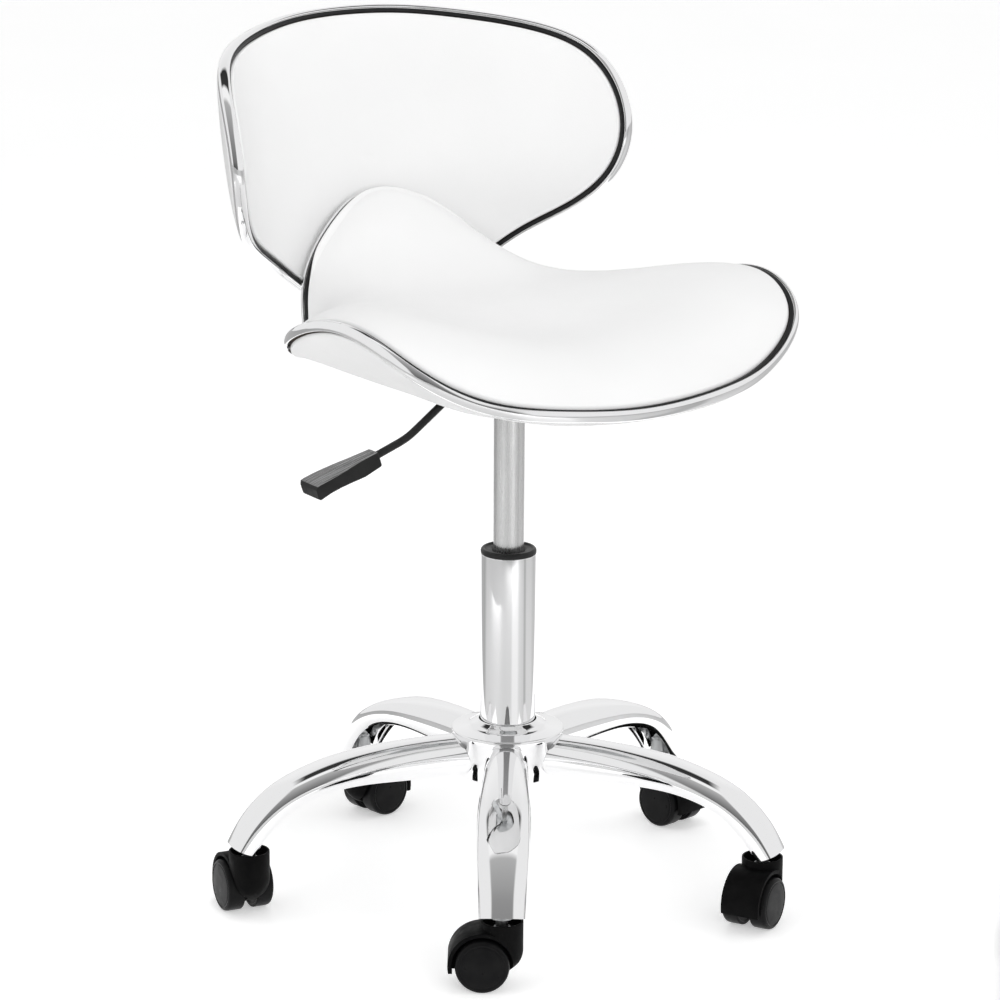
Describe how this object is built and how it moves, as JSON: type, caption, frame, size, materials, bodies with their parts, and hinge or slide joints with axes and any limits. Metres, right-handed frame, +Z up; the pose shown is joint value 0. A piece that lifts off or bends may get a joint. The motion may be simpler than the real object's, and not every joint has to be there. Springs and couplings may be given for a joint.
{
  "type": "pedicure stool",
  "caption": "Low salon stool with a saddle seat and wrap-round backrest on a gas lift and a star base with twin-wheel casters.",
  "frame": {"origin": "on the floor under the centre of the bounding box; the column's axis stands at x = -0.8 mm, y = -37.2 mm", "axes": "+Z up, the sitter faces -Y, and the height lever is on the sitter's right, at -X"},
  "size_m": [0.5124, 0.5265, 0.7776],
  "materials": {
    "chrome": "polished",
    "brushed_steel": "brushed",
    "zinc_steel": "satin",
    "black_nylon": "satin",
    "wheel_black": "semi-gloss",
    "black_plastic": "satin",
    "black_powder_coat": "satin",
    "white_leather": "grained synthetic leather",
    "white_cover": "smooth, semi-gloss",
    "black_piping": "satin",
    "plywood": "raw, hidden"
  },
  "bodies": {
    "base": {"hub": "chrome", "leg_1": "chrome", "leg_socket_1": "zinc_steel", "caster_stem_1": "zinc_steel", "leg_2": "chrome", "leg_socket_2": "zinc_steel", "caster_stem_2": "zinc_steel", "leg_3": "chrome", "leg_socket_3": "zinc_steel", "caster_stem_3": "zinc_steel", "leg_4": "chrome", "leg_socket_4": "zinc_steel", "caster_stem_4": "zinc_steel", "leg_5": "chrome", "leg_socket_5": "zinc_steel", "caster_stem_5": "zinc_steel", "outer_tube": "chrome", "guide_bush": "black_plastic", "thrust_bearing": "zinc_steel", "retaining_clip": "zinc_steel"},
    "piston": {"piston_rod": "zinc_steel"},
    "seat": {"gas_cylinder": "brushed_steel", "seat_mount": "zinc_steel", "seat_shell": "plywood", "seat_cushion": "white_leather", "seat_piping": "black_piping", "seat_trim": "chrome", "seat_under_cover": "white_cover", "back_bar": "zinc_steel", "back_bar_screw_lower": "zinc_steel", "back_bar_screw_upper": "zinc_steel", "back_shell": "plywood", "back_cushion": "white_leather", "back_piping": "black_piping", "back_trim": "chrome", "back_cover": "white_cover"},
    "lever": {"lever_rod": "black_powder_coat", "lever_grip": "black_plastic"},
    "valve": {"valve_pin": "zinc_steel"},
    "caster_1": {"caster_housing_1": "black_nylon", "caster_axle_1": "zinc_steel"},
    "wheel_1_left": {"caster_wheel_1_left": "wheel_black"},
    "wheel_1_right": {"caster_wheel_1_right": "wheel_black"},
    "caster_2": {"caster_housing_2": "black_nylon", "caster_axle_2": "zinc_steel"},
    "wheel_2_left": {"caster_wheel_2_left": "wheel_black"},
    "wheel_2_right": {"caster_wheel_2_right": "wheel_black"},
    "caster_3": {"caster_housing_3": "black_nylon", "caster_axle_3": "zinc_steel"},
    "wheel_3_left": {"caster_wheel_3_left": "wheel_black"},
    "wheel_3_right": {"caster_wheel_3_right": "wheel_black"},
    "caster_4": {"caster_housing_4": "black_nylon", "caster_axle_4": "zinc_steel"},
    "wheel_4_left": {"caster_wheel_4_left": "wheel_black"},
    "wheel_4_right": {"caster_wheel_4_right": "wheel_black"},
    "caster_5": {"caster_housing_5": "black_nylon", "caster_axle_5": "zinc_steel"},
    "wheel_5_left": {"caster_wheel_5_left": "wheel_black"},
    "wheel_5_right": {"caster_wheel_5_right": "wheel_black"}
  },
  "joints": [
    {"name": "seat_swivel", "type": "hinge", "parent": "base", "child": "piston", "pos_m": [-0.0008, -0.0372, 0.1125], "axis": [0, 0, 1], "continuous": true},
    {"name": "seat_lift", "type": "slide", "parent": "piston", "child": "seat", "axis": [0, 0, 1], "range_m": [-0.115, 0]},
    {"name": "lever_lift", "type": "hinge", "parent": "seat", "child": "lever", "pos_m": [-0.0258, -0.0372, 0.4898], "axis": [0, 1, 0], "range_deg": [0, 6], "stiffness_Nm_per_rad": 2, "springref_deg": -1.15},
    {"name": "valve_press", "type": "slide", "parent": "seat", "child": "valve", "axis": [0, 0, 1], "range_m": [-0.0031, 0]},
    {"name": "caster_swivel_1", "type": "hinge", "parent": "base", "child": "caster_1", "pos_m": [-0.13668, -0.23866, 0.052], "axis": [0, 0, 1], "continuous": true},
    {"name": "wheel_spin_1_left", "type": "hinge", "parent": "caster_1", "child": "wheel_1_left", "pos_m": [-0.15857, -0.24114, 0.0237], "axis": [-0.5446, -0.8387, 0], "continuous": true},
    {"name": "wheel_spin_1_right", "type": "hinge", "parent": "caster_1", "child": "wheel_1_right", "pos_m": [-0.14332, -0.21766, 0.0237], "axis": [-0.5446, -0.8387, 0], "continuous": true},
    {"name": "caster_swivel_2", "type": "hinge", "parent": "base", "child": "caster_2", "pos_m": [0.14881, -0.22869, 0.052], "axis": [0, 0, 1], "continuous": true},
    {"name": "wheel_spin_2_left", "type": "hinge", "parent": "caster_2", "child": "wheel_2_left", "pos_m": [0.14055, -0.2491, 0.0237], "axis": [0.4772, -0.8788, 0], "continuous": true},
    {"name": "wheel_spin_2_right", "type": "hinge", "parent": "caster_2", "child": "wheel_2_right", "pos_m": [0.12719, -0.22449, 0.0237], "axis": [0.4772, -0.8788, 0], "continuous": true},
    {"name": "caster_swivel_3", "type": "hinge", "parent": "base", "child": "caster_3", "pos_m": [0.22755, 0.04591, 0.052], "axis": [0, 0, 1], "continuous": true},
    {"name": "wheel_spin_3_left", "type": "hinge", "parent": "caster_3", "child": "wheel_3_left", "pos_m": [0.24453, 0.03189, 0.0237], "axis": [0.9816, 0.1908, 0], "continuous": true},
    {"name": "wheel_spin_3_right", "type": "hinge", "parent": "caster_3", "child": "wheel_3_right", "pos_m": [0.21705, 0.02655, 0.0237], "axis": [0.9816, 0.1908, 0], "continuous": true},
    {"name": "caster_swivel_4", "type": "hinge", "parent": "base", "child": "caster_4", "pos_m": [-0.00928, 0.20565, 0.052], "axis": [0, 0, 1], "continuous": true},
    {"name": "wheel_spin_4_left", "type": "hinge", "parent": "caster_4", "child": "wheel_4_left", "pos_m": [0.00474, 0.22264, 0.0237], "axis": [-0.1908, 0.9816, 0], "continuous": true},
    {"name": "wheel_spin_4_right", "type": "hinge", "parent": "caster_4", "child": "wheel_4_right", "pos_m": [0.01008, 0.19515, 0.0237], "axis": [-0.1908, 0.9816, 0], "continuous": true},
    {"name": "caster_swivel_5", "type": "hinge", "parent": "base", "child": "caster_5", "pos_m": [-0.23439, 0.02978, 0.052], "axis": [0, 0, 1], "continuous": true},
    {"name": "wheel_spin_5_left", "type": "hinge", "parent": "caster_5", "child": "wheel_5_left", "pos_m": [-0.24572, 0.04866, 0.0237], "axis": [-0.989, 0.1478, 0], "continuous": true},
    {"name": "wheel_spin_5_right", "type": "hinge", "parent": "caster_5", "child": "wheel_5_right", "pos_m": [-0.21803, 0.04452, 0.0237], "axis": [-0.989, 0.1478, 0], "continuous": true}
  ],
  "couplings": [
    {"joint": "valve_press", "follows": "lever_lift", "m_per_rad": -0.028}
  ]
}
